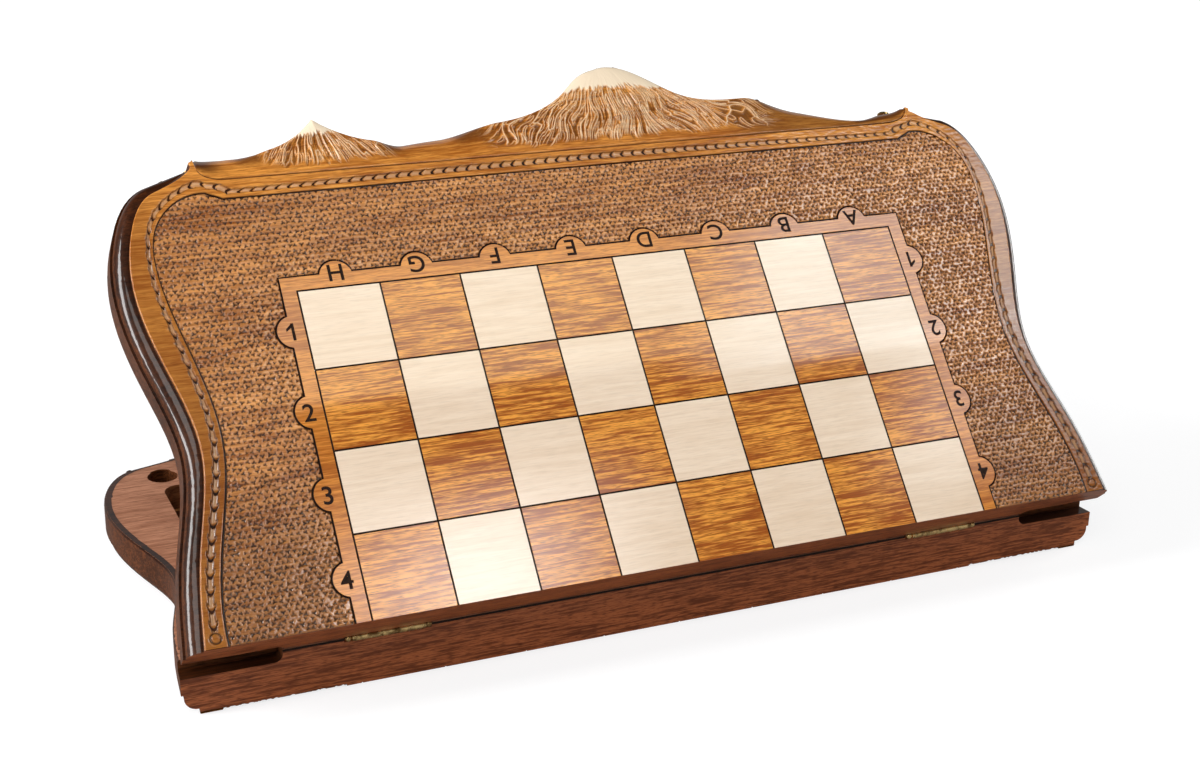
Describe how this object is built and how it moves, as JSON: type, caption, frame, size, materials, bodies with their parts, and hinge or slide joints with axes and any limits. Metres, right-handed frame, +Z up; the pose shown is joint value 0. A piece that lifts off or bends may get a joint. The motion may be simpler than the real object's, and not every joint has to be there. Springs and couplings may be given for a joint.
{
  "type": "folding chess and backgammon board",
  "caption": "Folding wooden chess and backgammon board with waisted moulded sides, a carved peak crest, hinged tray halves and swing hooks.",
  "frame": {"origin": "middle of the lower half's chess field, on the face that the board stands on", "axes": "+Z up, +X along the hinge, +Y from the hinge towards the crest of the lower half"},
  "size_m": [0.6048, 0.3648, 0.2956],
  "materials": {
    "stained_wood": "stained and lacquered beech",
    "field_wood": "satin lacquered beech",
    "light_inlay": "pale maple inlay",
    "dark_inlay": "dark walnut inlay",
    "brass": "polished, slightly tarnished",
    "dark_brass": "blackened"
  },
  "bodies": {
    "lower_half": {"lower_case": "stained_wood", "lower_field": "field_wood", "lower_light_points": "light_inlay", "lower_dark_points": "dark_inlay", "left_hinge_lower_leaf": "brass", "left_hinge_pin": "brass", "left_hinge_lower_screws": "brass", "left_catch_pin": "dark_brass", "right_hinge_lower_leaf": "brass", "right_hinge_pin": "brass", "right_hinge_lower_screws": "brass", "right_catch_pin": "dark_brass"},
    "upper_half": {"upper_case": "stained_wood", "upper_field": "field_wood", "upper_light_points": "light_inlay", "upper_dark_points": "dark_inlay", "left_hinge_upper_leaf": "brass", "left_hinge_upper_screws": "brass", "left_hook_screw": "brass", "right_hinge_upper_leaf": "brass", "right_hinge_upper_screws": "brass", "right_hook_screw": "brass"},
    "left_hook": {"left_hook": "brass"},
    "right_hook": {"right_hook": "brass"}
  },
  "joints": [
    {"name": "lid_hinge", "type": "hinge", "parent": "lower_half", "child": "upper_half", "pos_m": [0, -0.1004, 0.0302], "axis": [1, 0, 0], "range_deg": [-48, 132]},
    {"name": "left_hook_swing", "type": "hinge", "parent": "upper_half", "child": "left_hook", "pos_m": [-0.25882, 0.08836, 0.24687], "axis": [-0.3887, 0.6165, 0.6847], "range_deg": [0, 147.92]},
    {"name": "right_hook_swing", "type": "hinge", "parent": "upper_half", "child": "right_hook", "pos_m": [0.25882, 0.08836, 0.24687], "axis": [-0.3887, -0.6165, -0.6847], "range_deg": [0, 147.92]}
  ]
}
